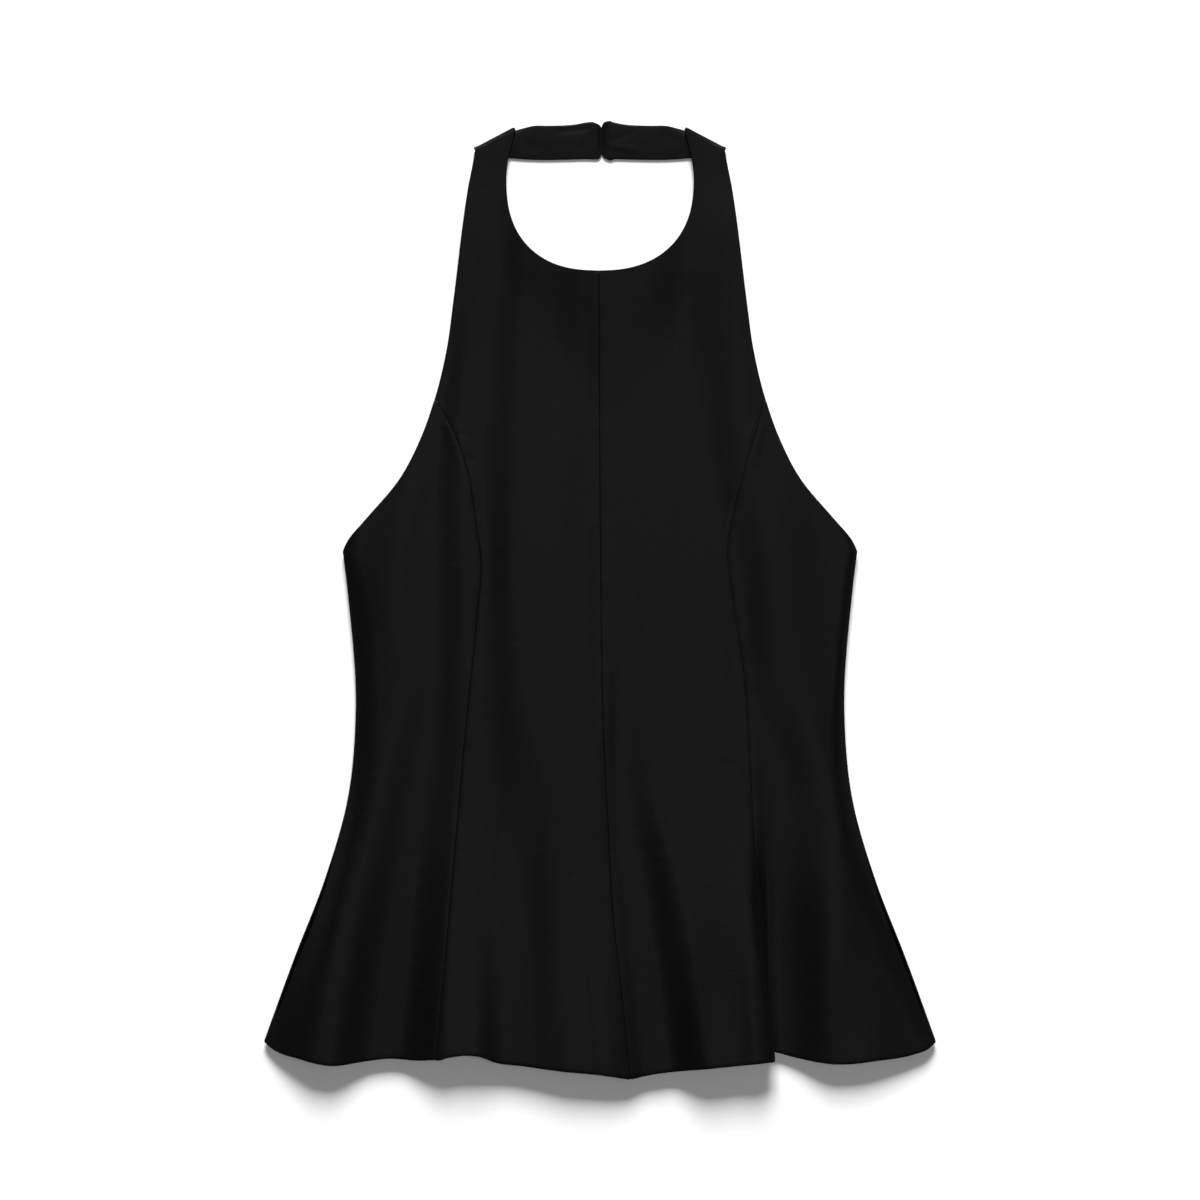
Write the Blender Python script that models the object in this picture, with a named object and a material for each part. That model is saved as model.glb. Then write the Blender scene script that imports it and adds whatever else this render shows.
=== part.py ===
"""A black halter-neck peplum top of heavy crepe, laid flat on a surface with its front up.

It is cut as a maker cuts it: two centre-front panels and two side-front panels joined by princess seams that
run from the armhole to the hem, two back panels joined at the centre back, and two neck bands that turn back
at the shoulders and meet at the nape. Every piece is one closed wall of cloth, and pieces that are sewn
together lie a small gap apart at the seam.

The model is in metres, with X to the wearer's left, Y towards the neck and Z up. Its origin is at the middle
of its length and width, on the surface that it lies on. Tables and sizes below are in millimetres.
"""

from collections import namedtuple

import bmesh
import bpy
import numpy as np

MM = 0.001

# Cloth
CLOTH = 1.5
BAND_CLOTH = 2.0
SEAM_GAP = 0.3

# Heights on the body, along Y
SHOULDER_OUTER_Y = 340.0
SHOULDER_INNER_Y = 354.8
NECK_WIDEST_Y = 318.0
NECK_BOTTOM_Y = 246.8
STRAP_OUTER_Y = 312.0
NECK_OPPOSITE_Y = 196.0
APEX_Y = 149.0
APEX_NOTCH = 1.6
UNDERARM_Y = 36.3
BACK_TOP_Y = 14.0
HEM_CORNER_Y = -330.5
BACK_HEM_Y = -335.5

# Neckline: half of an ellipse-like curve that is a little squarer than an ellipse
NECK_HALF_WIDTH = 71.3
NECK_SQUARENESS = 2.4
STRAP_INNER_TOP_X = 65.0

# Outline from the shoulder round the armhole to the underarm, and from there down the side seam
EdgePoint = namedtuple("EdgePoint", "y half_width")
ARMHOLE = [
    EdgePoint(y=340.0, half_width=94.6),
    EdgePoint(y=300.0, half_width=100.4),
    EdgePoint(y=225.0, half_width=109.6),
    EdgePoint(y=188.0, half_width=114.8),
    EdgePoint(y=150.0, half_width=123.9),
    EdgePoint(y=120.0, half_width=134.6),
    EdgePoint(y=90.0, half_width=150.4),
    EdgePoint(y=60.0, half_width=175.7),
    EdgePoint(y=44.0, half_width=189.4),
    EdgePoint(y=UNDERARM_Y, half_width=193.2),
]
SIDE_SEAM = [
    EdgePoint(y=UNDERARM_Y, half_width=193.2),
    EdgePoint(y=28.0, half_width=192.0),
    EdgePoint(y=0.0, half_width=188.8),
    EdgePoint(y=-82.0, half_width=183.4),
    EdgePoint(y=-150.0, half_width=189.7),
    EdgePoint(y=-210.0, half_width=206.8),
    EdgePoint(y=-270.0, half_width=230.0),
    EdgePoint(y=HEM_CORNER_Y, half_width=252.0),
]

# Seams, from the armhole or the neckline to the hem
SeamPoint = namedtuple("SeamPoint", "y x")
CENTRE_SEAM = [
    SeamPoint(y=NECK_BOTTOM_Y, x=-1.0),
    SeamPoint(y=30.0, x=0.4),
    SeamPoint(y=-75.0, x=2.0),
    SeamPoint(y=-186.0, x=7.0),
    SeamPoint(y=-240.0, x=10.2),
    SeamPoint(y=-290.0, x=16.0),
    SeamPoint(y=-358.0, x=23.0),
]
PRINCESS_SEAM_RIGHT = [
    SeamPoint(y=APEX_Y, x=-122.4),
    SeamPoint(y=131.0, x=-112.5),
    SeamPoint(y=102.0, x=-100.7),
    SeamPoint(y=55.0, x=-92.4),
    SeamPoint(y=27.0, x=-89.0),
    SeamPoint(y=-8.0, x=-91.6),
    SeamPoint(y=-90.0, x=-100.0),
    SeamPoint(y=-204.0, x=-110.2),
    SeamPoint(y=-343.3, x=-123.2),
]
PRINCESS_SEAM_LEFT = [
    SeamPoint(y=APEX_Y, x=122.4),
    SeamPoint(y=128.0, x=117.9),
    SeamPoint(y=104.0, x=110.2),
    SeamPoint(y=66.0, x=100.0),
    SeamPoint(y=38.0, x=95.7),
    SeamPoint(y=8.0, x=99.2),
    SeamPoint(y=-62.0, x=108.5),
    SeamPoint(y=-168.0, x=115.0),
    SeamPoint(y=-261.0, x=121.0),
    SeamPoint(y=-342.0, x=130.4),
]

# Hem of each front panel, from its inner seam to its outer one. The left side panel's hem starts where it
# comes out from under the tuck.
HemPoint = namedtuple("HemPoint", "x y")
HEM_CENTRE_RIGHT = [
    HemPoint(x=23.0, y=-358.4),
    HemPoint(x=0.0, y=-354.8),
    HemPoint(x=-30.0, y=-351.9),
    HemPoint(x=-60.0, y=-347.9),
    HemPoint(x=-77.0, y=-345.8),
    HemPoint(x=-90.0, y=-340.8),
    HemPoint(x=-102.0, y=-339.9),
    HemPoint(x=-113.0, y=-341.4),
    HemPoint(x=-123.2, y=-343.5),
]
HEM_CENTRE_LEFT = [
    HemPoint(x=23.0, y=-358.4),
    HemPoint(x=37.0, y=-355.2),
    HemPoint(x=52.0, y=-353.1),
    HemPoint(x=97.0, y=-348.2),
    HemPoint(x=130.4, y=-344.8),
]
HEM_SIDE_RIGHT = [
    HemPoint(x=-123.2, y=-343.5),
    HemPoint(x=-136.0, y=-344.1),
    HemPoint(x=-160.0, y=-343.1),
    HemPoint(x=-180.0, y=-345.6),
    HemPoint(x=-199.0, y=-347.9),
    HemPoint(x=-225.0, y=-342.8),
    HemPoint(x=-245.0, y=-336.0),
    HemPoint(x=-252.0, y=HEM_CORNER_Y),
]
HEM_SIDE_LEFT = [
    HemPoint(x=130.4, y=-337.8),
    HemPoint(x=148.0, y=-342.5),
    HemPoint(x=176.0, y=-346.8),
    HemPoint(x=209.0, y=-344.2),
    HemPoint(x=236.0, y=-339.6),
    HemPoint(x=247.0, y=-335.2),
    HemPoint(x=252.0, y=HEM_CORNER_Y),
]

# Heights of the cloth's underside above the surface
BODY_LOFT = 8.0
LOFT_START_Y = 230.0
LOFT_FULL_Y = 0.0
SIDE_SEAM_HEIGHT = 5.0
SIDE_ROLL_TURN = np.radians(45.0)
SIDE_ROLL_START_Y = 62.0
SIDE_ROLL_SPREAD = 4.0
LEAST_ROLL_WIDTH = 2.5
END_SHARE = 0.35
HEM_BEND_START = 0.4
BACK_ROLL_WIDTH = 7.0
BACK_TOP_SAG = 2.2
BACK_TOP_FADE = 0.5
SHOULDER_RADIUS = 1.9
SHOULDER_SETTLE_ROW = 2.6
CENTRE_GAP_ROW = 2.8
STRAP_RISE_START_Y = 170.0
STRAP_FLAT_START_Y = 260.0
STRAP_RISE_END_Y = 334.0

# How wide the front's roll down to each side seam may be, at each height
SideRoll = namedtuple("SideRoll", "y right left")
SIDE_ROLLS = [
    SideRoll(y=UNDERARM_Y, right=24.0, left=8.0),
    SideRoll(y=0.0, right=20.0, left=9.0),
    SideRoll(y=-40.0, right=18.0, left=8.0),
    SideRoll(y=-90.0, right=18.0, left=11.0),
    SideRoll(y=-150.0, right=22.0, left=15.0),
    SideRoll(y=HEM_CORNER_Y, right=26.0, left=20.0),
]

# Folds that run down the front and grow into the flutes of the peplum. Each row is the line of a ridge, a
# valley or a shelf: where it runs and how far it stands above the lowest cloth, at each height in
# FOLD_STATIONS, and how far it stays level to either side at the hem. Between two lines the cloth passes
# smoothly from one to the other.
FOLD_STATIONS = (250.0, 130.0, 20.0, -70.0, -140.0, -225.0, -345.0)
FoldLine = namedtuple("FoldLine", "name level x rise")
FOLD_LINES = [
    FoldLine(
        name="right_edge",
        level=1,
        x=(-108, -133, -190, -185, -193, -214, -250),
        rise=(3.4, 1.0, 0.2, 1.8, 2.0, 2.6, 0.6),
    ),
    FoldLine(
        name="right_side_ridge",
        level=4,
        x=(-105, -128, -154, -150, -168, -188, -208),
        rise=(3.2, 1.2, 4.6, 4.4, 5.4, 8.4, 9.6),
    ),
    FoldLine(
        name="right_side_valley",
        level=9,
        x=(-100, -120, -122, -124, -134, -146, -160),
        rise=(2.9, 0.8, 0.6, 1.0, 0.8, 0.6, 0.2),
    ),
    FoldLine(
        name="right_seam_ridge",
        level=9,
        x=(-94, -104, -101, -104, -106, -104, -104),
        rise=(2.2, 3.2, 3.9, 3.4, 3.0, 7.0, 12.5),
    ),
    FoldLine(
        name="right_front_valley",
        level=11,
        x=(-76, -87, -87, -92, -84, -68, -61),
        rise=(1.2, 2.0, 2.4, 3.2, 2.4, 4.4, 6.6),
    ),
    FoldLine(
        name="centre_ridge",
        level=8,
        x=(-57, -62, -65, -56, -36, -24, -14),
        rise=(3.8, 5.0, 6.0, 6.6, 6.2, 7.2, 9.5),
    ),
    FoldLine(
        name="centre_shelf",
        level=2,
        x=(-10, 2, 6, 2, -10, -8, 0),
        rise=(1.8, 2.4, 3.0, 4.4, 5.4, 6.6, 9.0),
    ),
    FoldLine(
        name="left_front_valley",
        level=7,
        x=(36, 38, 38, 22, 18, 30, 44),
        rise=(1.4, 2.4, 3.0, 3.4, 3.0, 2.8, 1.8),
    ),
    FoldLine(
        name="left_front_ridge",
        level=2,
        x=(46, 58, 66, 44, 41, 64, 84),
        rise=(1.2, 2.6, 3.4, 3.6, 4.9, 8.2, 12.5),
    ),
    FoldLine(
        name="left_front_far",
        level=2,
        x=(54, 68, 84, 90, 100, 106, 112),
        rise=(1.0, 2.4, 3.2, 3.8, 4.2, 6.4, 9.4),
    ),
    FoldLine(
        name="left_seam_valley",
        level=2,
        x=(60, 76, 98, 112, 138, 140, 140),
        rise=(1.0, 2.0, 2.2, 2.4, 2.2, 2.6, 2.4),
    ),
    FoldLine(
        name="left_side_ridge",
        level=2,
        x=(100, 108, 130, 144, 170, 174, 180),
        rise=(4.6, 5.4, 5.4, 4.8, 4.4, 6.8, 6.6),
    ),
    FoldLine(
        name="left_edge",
        level=1,
        x=(109, 134, 190, 185, 193, 214, 250),
        rise=(4.6, 3.4, 0.0, 0.8, 1.4, 1.2, 0.0),
    ),
]
LEVEL_START_Y = -20.0

# The middle of the neckline stands up from the surface, over a V of cloth below it
NECK_LIFT = 6.5
NECK_LIFT_X = 8.0
NECK_LIFT_HALF_WIDTH = 76.0
NECK_LIFT_ROUNDING = 16.0
NECK_LIFT_FULL = 0.2
NECK_LIFT_END = 1.1
NECK_LIFT_DEPTH = 125.0

# The tuck at the left princess seam, where the peplum folds over itself: an S of two equal arcs
TUCK_ARC = 8.0
TUCK_HEM_ANGLE = np.radians(165.0)
TUCK_START_Y = -160.0
TUCK_SETTLE = 48.0
LEAST_ANGLE = 0.01

# Neck bands, from the shoulder fold to the nape: matching points of the lower and the upper edge
BandSection = namedtuple("BandSection", "lower_x lower_y upper_x upper_y")
NECK_BAND = [
    BandSection(lower_x=84.0, lower_y=334.6, upper_x=58.0, upper_y=353.6),
    BandSection(lower_x=68.0, lower_y=332.6, upper_x=50.0, upper_y=355.4),
    BandSection(lower_x=48.0, lower_y=331.4, upper_x=38.0, upper_y=355.3),
    BandSection(lower_x=26.0, lower_y=331.6, upper_x=22.0, upper_y=355.8),
    BandSection(lower_x=12.0, lower_y=332.0, upper_x=11.0, upper_y=357.6),
]
NAPE_X = 1.2
BAND_INSET = 0.8
BAND_BOW = 1.6
BAND_BOW_TURN = np.radians(112.0)
BAND_BOW_ROWS = 2.0
NECK_BAND_END_RIGHT = [
    BandSection(lower_x=3.2, lower_y=331.8, upper_x=6.0, upper_y=358.0),
    BandSection(lower_x=0.2, lower_y=332.9, upper_x=1.6, upper_y=356.6),
    BandSection(lower_x=SEAM_GAP / 2 - NAPE_X, lower_y=335.2, upper_x=SEAM_GAP / 2 - NAPE_X, upper_y=354.3),
]
NECK_BAND_END_LEFT = [
    BandSection(lower_x=8.0, lower_y=331.0, upper_x=7.5, upper_y=358.8),
    BandSection(lower_x=3.6, lower_y=332.6, upper_x=3.4, upper_y=358.0),
    BandSection(lower_x=NAPE_X + SEAM_GAP / 2, lower_y=335.0, upper_x=NAPE_X + SEAM_GAP / 2, upper_y=355.0),
]

# Grid lines of each wall, counted between the lines where its form changes
SEAM_ROWS = (8, 22)
CENTRE_ROWS = (3, 4, 9, 6, 1) + SEAM_ROWS
BACK_ROWS = SEAM_ROWS[1:]
CENTRE_COLUMNS = 13
TUCK_COLUMNS = 5
SIDE_COLUMNS = (9, 4)
BACK_COLUMNS = (7, 3)
BAND_SECTIONS_BETWEEN = 2
BAND_CURL_ROWS = 3
BAND_COLUMNS = 4
NORMAL_DETAIL = 16
SHARP_ANGLE = np.radians(50.0)

CREPE_BLACK = (0.011, 0.011, 0.012, 1.0)
CREPE_ROUGHNESS = 0.85

RIGHT, LEFT = -1, 1


def curve(rows, at, along="y", value="x"):
    """The smooth curve through a table's rows, read at these places."""
    places = np.array([getattr(row, along) for row in rows], float)
    values = np.array([getattr(row, value) for row in rows], float)
    order = np.argsort(places)
    return smooth_through(places[order], values[order], at)


def smooth_through(places, values, at):
    """Cubic interpolation whose slope at each place follows its neighbours."""
    slopes = np.gradient(values, places)
    at = np.clip(at, places[0], places[-1])
    i = np.clip(np.searchsorted(places, at) - 1, 0, len(places) - 2)
    span = places[i + 1] - places[i]
    t = (at - places[i]) / span
    return (
        values[i] * (1 + 2 * t) * (1 - t) ** 2
        + values[i + 1] * t**2 * (3 - 2 * t)
        + slopes[i] * span * t * (1 - t) ** 2
        - slopes[i + 1] * span * t**2 * (1 - t)
    )


def ease(start, end, at):
    """0 before start, 1 after end, and a smooth step between. Start may be the greater."""
    t = np.clip((at - start) / (end - start), 0.0, 1.0)
    return t * t * (3 - 2 * t)


def mix(a, b, share):
    return a + (b - a) * share


def folds_at(x, y):
    """How far the folds lift the front at each point."""
    stations = np.array(FOLD_STATIONS[::-1])

    def down_line(values):
        return smooth_through(stations, np.array(values[::-1], float), y)

    grown = ease(LEVEL_START_Y, FOLD_STATIONS[-1], y)
    lifted = down_line(FOLD_LINES[0].rise)
    for line, following in zip(FOLD_LINES, FOLD_LINES[1:]):
        start = down_line(line.x) + line.level * grown
        end = down_line(following.x) - following.level * grown
        passed = ease(start, end, x)
        lifted = lifted + (down_line(following.rise) - down_line(line.rise)) * passed
    return lifted


def neck_lift(x, y):
    """How far the neckline's lift raises the front at each point."""
    below = np.maximum(NECK_BOTTOM_Y - y, 0.0) / NECK_LIFT_DEPTH
    beside = np.hypot(x - NECK_LIFT_X, NECK_LIFT_ROUNDING) / NECK_LIFT_HALF_WIDTH
    return NECK_LIFT * ease(NECK_LIFT_END, NECK_LIFT_FULL, below + beside)


def front_height(x, y):
    """Height of the middle of the front's cloth above the surface."""
    strap_lift = BAND_CLOTH / 2 + 2 * SHOULDER_RADIUS - CLOTH / 2
    body = BODY_LOFT * ease(LOFT_START_Y, LOFT_FULL_Y, y)
    strap = strap_lift * ease(STRAP_RISE_START_Y, STRAP_RISE_END_Y, y)
    flat_strap = 1 - ease(STRAP_FLAT_START_Y, STRAP_RISE_END_Y, y)
    return CLOTH / 2 + body + strap + neck_lift(x, y) + folds_at(x, y) * flat_strap


def tuck(y):
    """The turning angle of the tuck at each height, and the radius of its two arcs."""
    angle = LEAST_ANGLE + (TUCK_HEM_ANGLE - LEAST_ANGLE) * ease(TUCK_START_Y, FOLD_STATIONS[-1], y)
    return angle, TUCK_ARC / angle


def tuck_section(arc, y, side):
    """Sideways and upward offsets from the seam, at a signed arc length from it across the seam."""
    if side == RIGHT:
        return arc, np.zeros(np.broadcast(arc, y).shape)
    angle, radius = tuck(y)
    turned = angle * (1 - np.abs(arc) / TUCK_ARC)
    across = np.sign(arc) * radius * (np.sin(angle) - np.sin(turned))
    up = -np.sign(arc) * radius * (np.cos(turned) - np.cos(angle))
    return across, up


def tuck_step(x, seam_x, y, side):
    """How far the tuck parts its two panels from the folds' own height, fading away from the seam."""
    if side == RIGHT:
        return np.zeros(np.broadcast(x, y).shape)
    angle, radius = tuck(y)
    drop = radius * (1 - np.cos(angle))
    away = np.maximum(np.abs(x - seam_x) - radius * np.sin(angle), 0.0)
    return drop * (1 - ease(0.0, TUCK_SETTLE, away))


def princess_x(y, side):
    """Where a princess seam lies. Its table follows the edge that shows, which overhangs it at the tuck."""
    if side == RIGHT:
        return curve(PRINCESS_SEAM_RIGHT, y)
    angle, radius = tuck(y)
    overhang = np.where(angle > np.pi / 2, radius * (1 - np.sin(angle)), 0.0)
    return curve(PRINCESS_SEAM_LEFT, y) - overhang


def hem_detail(hem, x, straight_y, grown):
    """How far a hem's curve departs from the straight line between its ends, growing down the panel."""
    return (curve(hem, x, along="x", value="y") - straight_y) * grown


def in_zone(at, number):
    """0 to 1 within zone number, held at its ends outside."""
    return np.clip(at - number, 0.0, 1.0)


def centre_panel(rows, columns, side):
    """A centre-front panel. Row zones: the turn over the shoulder, strap, neckline, bib, the notch where the
    princess seam leaves the armhole, body and peplum. Column zones: from the centre front outwards, then the
    last stretch to the princess seam or armhole."""
    turn, strap, neck, bib, notch, upper, lower = (in_zone(rows, zone) for zone in range(7))
    shoulder_x = curve(ARMHOLE, SHOULDER_OUTER_Y, value="half_width")
    seam = curve(CENTRE_SEAM, NECK_BOTTOM_Y)

    # Inner edge: strap, neckline, then centre-front seam
    around = neck * np.pi / 2
    round_x = NECK_HALF_WIDTH * np.abs(np.cos(around)) ** (2 / NECK_SQUARENESS)
    round_y = NECK_WIDEST_Y - (NECK_WIDEST_Y - NECK_BOTTOM_Y) * np.sin(around) ** (2 / NECK_SQUARENESS)
    hem = HEM_CENTRE_LEFT if side == LEFT else HEM_CENTRE_RIGHT
    inner_y = np.where(rows < 2, mix(SHOULDER_INNER_Y, NECK_WIDEST_Y, strap), round_y)
    inner_y = np.where(rows > 3, mix(NECK_BOTTOM_Y, APEX_Y + APEX_NOTCH, bib), inner_y)
    inner_y = mix(inner_y, APEX_Y, notch)
    inner_y = np.where(rows > 5, mix(mix(APEX_Y, UNDERARM_Y, upper), hem[0].y, lower), inner_y)
    strap_x = mix(STRAP_INNER_TOP_X, NECK_HALF_WIDTH, np.sin(strap * np.pi / 2))
    inner_x = side * np.where(rows < 2, strap_x, round_x) + seam * ease(2, 3, rows)
    inner_x = np.where(rows >= 3, curve(CENTRE_SEAM, inner_y), inner_x)
    inner_x = inner_x + side * SEAM_GAP / 2 * ease(CENTRE_GAP_ROW, 3, rows)

    # Outer edge: armhole, then princess seam
    outer_y = mix(SHOULDER_OUTER_Y, STRAP_OUTER_Y, strap)
    outer_y = mix(outer_y, NECK_OPPOSITE_Y, neck)
    outer_y = mix(outer_y, APEX_Y + APEX_NOTCH, bib)
    outer_y = mix(mix(mix(outer_y, APEX_Y, notch), UNDERARM_Y, upper), hem[-1].y, lower)
    armhole_x = side * curve(ARMHOLE, outer_y, value="half_width")
    outer_x = mix(armhole_x, princess_x(outer_y, side), notch)

    # Points across each row
    angle, radius = tuck(outer_y) if side == LEFT else (LEAST_ANGLE, TUCK_ARC / LEAST_ANGLE)
    last_width = radius * np.sin(angle)
    chord = np.abs(outer_x - inner_x)
    last_share = TUCK_ARC / (chord + TUCK_ARC)
    across, last = in_zone(columns, 0), in_zone(columns, 1)
    off_x, off_z = tuck_section(-mix(TUCK_ARC, SEAM_GAP / 2, last), outer_y, side)
    start_x = outer_x - side * last_width
    x = np.where(columns <= 1, mix(inner_x, start_x, across), outer_x + side * off_x)
    share = np.where(columns <= 1, across * (1 - last_share), 1 - last_share * (1 - last))
    y = mix(inner_y, outer_y, share)
    straight_y = mix(hem[0].y, hem[-1].y, share)
    y = y + hem_detail(hem, x, straight_y, ease(HEM_BEND_START, 1.0, lower)) * (1 - last)
    z = front_height(x, y)
    z = z + np.where(columns <= 1, tuck_step(x, outer_x, y, side), off_z) * notch

    # The turn over the shoulder: a quarter circle about a line through both shoulder corners
    along = np.array([shoulder_x - STRAP_INNER_TOP_X, SHOULDER_OUTER_Y - SHOULDER_INNER_Y])
    along = along / np.linalg.norm(along)
    outward = np.array([-along[1] * side, along[0]])
    reach = SHOULDER_RADIUS + CLOTH / 2
    turned = (1 - turn) * (np.pi / 2 - SEAM_GAP / 2 / SHOULDER_RADIUS)
    back = -reach + SHOULDER_RADIUS * np.sin(turned)
    top = 1 - ease(1.0, SHOULDER_SETTLE_ROW, rows)
    x = x + outward[0] * back * top
    y = y + outward[1] * back * top
    z = z - SHOULDER_RADIUS * (1 - np.cos(turned))
    return x, y, z


def side_panel(rows, columns, side):
    """A side-front panel. Row zones: beside the armhole, then beside the side seam. Column zones: the first
    stretch from the princess seam, the panel, and the roll down to the side seam."""
    upper, lower = in_zone(rows, 0), in_zone(rows, 1)
    hem = HEM_SIDE_LEFT if side == LEFT else HEM_SIDE_RIGHT
    seam_end_y = (HEM_CENTRE_LEFT if side == LEFT else HEM_CENTRE_RIGHT)[-1].y
    beside_armhole = mix(APEX_Y, UNDERARM_Y, upper)
    inner_y = np.where(rows <= 1, beside_armhole, mix(UNDERARM_Y, seam_end_y, lower))
    outer_y = np.where(rows <= 1, beside_armhole, mix(UNDERARM_Y, HEM_CORNER_Y, lower))
    inner_x = princess_x(inner_y, side)
    armhole_x = curve(ARMHOLE, outer_y, value="half_width")
    outer_x = side * np.where(rows <= 1, armhole_x, curve(SIDE_SEAM, outer_y, value="half_width"))

    # How the cloth rolls down to the side seam
    width = np.abs(outer_x - inner_x)
    rolling = ease(SIDE_ROLL_START_Y, UNDERARM_Y, outer_y)
    steepest = LEAST_ANGLE + (SIDE_ROLL_TURN - LEAST_ANGLE) * rolling
    end_height = SIDE_SEAM_HEIGHT + SEAM_GAP / 2 + CLOTH / 2 * np.cos(steepest)
    drop = (front_height(outer_x, outer_y) - end_height) * rolling
    widest = curve(SIDE_ROLLS, outer_y, value="left" if side == LEFT else "right")
    roll = np.clip(drop * SIDE_ROLL_SPREAD, LEAST_ROLL_WIDTH, widest)
    roll = np.minimum(roll, END_SHARE * width)
    edge_x = outer_x - side * CLOTH / 2 * np.sin(steepest)

    # Points across each row
    angle, radius = tuck(inner_y) if side == LEFT else (LEAST_ANGLE, TUCK_ARC / LEAST_ANGLE)
    shrink = np.minimum(1.0, END_SHARE * width / TUCK_ARC)
    first, across, last = (in_zone(columns, zone) for zone in range(3))
    off_x, off_z = tuck_section(mix(SEAM_GAP / 2 / shrink, TUCK_ARC, first), inner_y, side)
    start_x = inner_x + side * radius * np.sin(angle) * shrink
    roll_x = edge_x - side * roll
    x = np.where(columns <= 1, inner_x + side * off_x * shrink, mix(start_x, roll_x, across))
    rolled = steepest * last
    x = np.where(columns > 2, roll_x + side * roll * np.sin(rolled) / np.sin(steepest), x)
    first_share = TUCK_ARC * shrink / (width + TUCK_ARC)
    share = mix(first_share, 1.0, np.clip((x - start_x) / (outer_x - start_x), 0.0, 1.0))
    share = np.where(columns <= 1, first_share * first, share)
    y = mix(inner_y, outer_y, share)
    straight_y = mix(seam_end_y, HEM_CORNER_Y, share)
    y = y + hem_detail(hem, x, straight_y, ease(HEM_BEND_START, 1.0, lower)) * first
    z = front_height(x, y)
    z = z + np.where(columns <= 1, off_z, -tuck_step(x, inner_x, y, side))
    z = z - np.where(columns > 2, drop * (1 - np.cos(rolled)) / (1 - np.cos(steepest)), 0.0)
    return x, y, z


def back_panel(rows, columns, side):
    """A back panel, flat on the surface. Column zones: from the centre back outwards, then the curl up to
    the side seam."""
    down = in_zone(rows, 0)
    inner_y = mix(BACK_TOP_Y, BACK_HEM_Y, down)
    outer_y = mix(UNDERARM_Y, HEM_CORNER_Y, down)
    outer_x = curve(SIDE_SEAM, outer_y, value="half_width")
    across, last = in_zone(columns, 0), in_zone(columns, 1)
    curl = last * np.pi / 2
    edge_x = outer_x - CLOTH / 2
    start_x = edge_x - BACK_ROLL_WIDTH
    x = np.where(columns <= 1, mix(SEAM_GAP / 2, start_x, across), start_x + BACK_ROLL_WIDTH * np.sin(curl))
    share = x / outer_x
    dip = (share**BACK_TOP_SAG - share) * (UNDERARM_Y - BACK_TOP_Y) * (1 - ease(0.0, BACK_TOP_FADE, down))
    y = mix(inner_y, outer_y, share) + dip
    rise = SIDE_SEAM_HEIGHT - SEAM_GAP / 2 - CLOTH / 2
    z = CLOTH / 2 + rise * (1 - np.cos(curl))
    return side * x, y, z


def band_table(side):
    end = NECK_BAND_END_LEFT if side == LEFT else NECK_BAND_END_RIGHT
    return NECK_BAND + end


def neck_band(rows, columns, side):
    """A neck band. Row zone 0 is the turn under the shoulder, and each later one a section of the table.
    Columns run from the lower edge to the upper one."""
    sections = band_table(side)
    shoulder_x = curve(ARMHOLE, SHOULDER_OUTER_Y, value="half_width")
    along = np.array([shoulder_x - STRAP_INNER_TOP_X, SHOULDER_OUTER_Y - SHOULDER_INNER_Y])
    along = along / np.linalg.norm(along)
    outward = np.array([-along[1], along[0]])
    inset = -(SHOULDER_RADIUS + CLOTH / 2)
    first = BandSection(
        lower_x=shoulder_x - BAND_INSET + outward[0] * inset,
        lower_y=SHOULDER_OUTER_Y - BAND_INSET / 2 + outward[1] * inset,
        upper_x=STRAP_INNER_TOP_X + BAND_INSET + outward[0] * inset,
        upper_y=SHOULDER_INNER_Y - BAND_INSET / 2 + outward[1] * inset,
    )
    sections = [first] + sections
    number = np.arange(len(sections), dtype=float)
    station = np.clip(rows - 1, 0.0, len(sections) - 1.0)
    edges = {
        name: smooth_through(number, np.array([getattr(s, name) for s in sections]), station)
        for name in BandSection._fields
    }
    x = mix(edges["lower_x"], edges["upper_x"], columns)
    y = mix(edges["lower_y"], edges["upper_y"], columns)
    turned = (1 - in_zone(rows, 0)) * (np.pi / 2 - SEAM_GAP / 2 / SHOULDER_RADIUS)
    x = x + outward[0] * SHOULDER_RADIUS * np.sin(turned)
    y = y + outward[1] * SHOULDER_RADIUS * np.sin(turned)
    bow = BAND_BOW * np.sin(BAND_BOW_TURN * columns) * ease(1.0, 1.0 + BAND_BOW_ROWS, rows)
    bow = bow * ease(len(sections), len(sections) - BAND_BOW_ROWS, rows)
    z = BAND_CLOTH / 2 + SHOULDER_RADIUS * (1 - np.cos(turned)) + bow
    return side * x, y, z


def lines(counts):
    """Grid positions, with that many steps in each zone."""
    steps = [np.arange(count) / count + zone for zone, count in enumerate(counts)]
    return np.append(np.concatenate(steps), len(counts))


def finer(positions):
    """The same positions with more between them, so that slopes can be read off the grid."""
    index = np.arange((len(positions) - 1) * NORMAL_DETAIL + 1) / NORMAL_DETAIL
    return np.interp(index, np.arange(len(positions)), positions)


def wall_points(surface, rows, columns, side, thickness):
    """Points of the upper and the lower face of a wall whose middle is that surface."""
    grid = surface(finer(rows)[:, None], finer(columns)[None, :], side)
    middle = np.stack(np.broadcast_arrays(*grid), axis=2)
    down, across = np.gradient(middle, axis=0), np.gradient(middle, axis=1)
    normal = np.cross(across, down) * -side
    normal /= np.linalg.norm(normal, axis=2, keepdims=True)
    picked = middle[::NORMAL_DETAIL, ::NORMAL_DETAIL]
    offset = normal[::NORMAL_DETAIL, ::NORMAL_DETAIL] * thickness / 2
    return picked + offset, picked - offset


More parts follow.
